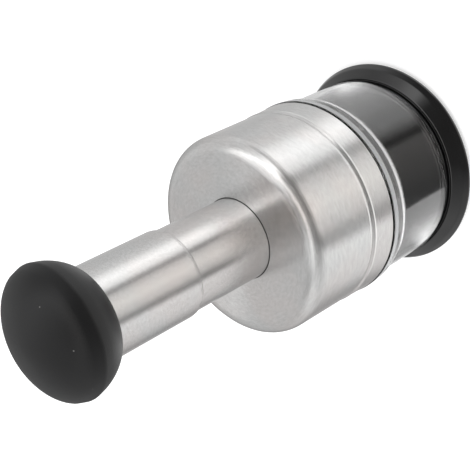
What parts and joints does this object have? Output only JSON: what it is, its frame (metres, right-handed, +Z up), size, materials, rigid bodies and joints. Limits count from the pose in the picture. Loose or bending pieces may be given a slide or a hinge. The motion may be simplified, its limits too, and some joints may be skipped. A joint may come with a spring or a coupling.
{
  "type": "vegetable chopper",
  "caption": "Hand chopper: rubber knob on a sliding steel sleeve drives an indexing zigzag blade into a lift-off cup inside a clear guard, with a spring return.",
  "frame": {"origin": "centre of the underside of the foot ring, on the surface that the chopper stands on", "axes": "+Z up along the plunger's axis; the sliding sleeve and knob are at the top"},
  "size_m": [0.1026, 0.1026, 0.2255],
  "materials": {
    "base_black": "glossy moulded plastic",
    "foot_rubber": "matte non-slip rubber",
    "mat_plastic": "matte polyethylene",
    "clear_plastic": "polished clear plastic",
    "seal_rubber": "matte black rubber",
    "housing_steel": "fine circumferential brushing",
    "liner_plastic": "matte moulded plastic",
    "lock_plastic": "matte moulded plastic",
    "tube_steel": "fine circumferential brushing",
    "bush_plastic": "machined acetal",
    "nut_brass": "machined brass",
    "fastener_steel": "bright zinc-plated steel",
    "stop_rubber": "matte rubber",
    "core_plastic": "moulded plastic",
    "knob_rubber": "soft-touch matte rubber",
    "spring_steel": "drawn wire",
    "rod_steel": "ground bar",
    "carrier_plastic": "matte moulded plastic",
    "blade_steel": "ground stainless strip"
  },
  "bodies": {
    "base": {"base_cup": "base_black", "foot_ring": "foot_rubber", "chopping_mat": "mat_plastic"},
    "guard": {"clear_guard": "clear_plastic", "joint_seal": "seal_rubber"},
    "housing": {"steel_housing": "housing_steel", "bell_liner": "liner_plastic", "lock_ring": "lock_plastic", "guide_tube": "tube_steel", "tube_seal": "seal_rubber", "shaft_bush": "bush_plastic", "index_nut": "nut_brass", "nut_cover": "bush_plastic", "cover_screws": "fastener_steel", "spring_seat": "fastener_steel", "stop_bumper": "stop_rubber", "return_spring": "spring_steel"},
    "plunger": {"press_sleeve": "tube_steel", "knob_core": "core_plastic", "knob_grip": "knob_rubber", "pocket_lid": "core_plastic"},
    "rotor": {"drive_rod": "rod_steel", "thrust_washer": "fastener_steel", "rod_clip": "fastener_steel", "blade_carrier": "carrier_plastic", "zigzag_blade": "blade_steel", "hub_screw": "fastener_steel"}
  },
  "joints": [
    {"name": "lift_off", "type": "slide", "parent": "base", "child": "guard", "axis": [0, 0, 1], "range_m": [0, 0.045]},
    {"name": "twist", "type": "hinge", "parent": "guard", "child": "housing", "pos_m": [0, 0, 0.0625], "axis": [0, 0, 1], "range_deg": [0, 34]},
    {"name": "press", "type": "slide", "parent": "housing", "child": "plunger", "axis": [0, 0, -1], "range_m": [0, 0.038], "stiffness_N_per_m": 400, "springref_m": -0.025, "deforming": ["return_spring"]},
    {"name": "blade_index", "type": "hinge", "parent": "plunger", "child": "rotor", "pos_m": [0, 0, 0.199], "axis": [0, 0, -1], "range_deg": [0, 45]}
  ],
  "couplings": [
    {"joint": "blade_index", "follows": "press", "rad_per_m": 20.668}
  ]
}
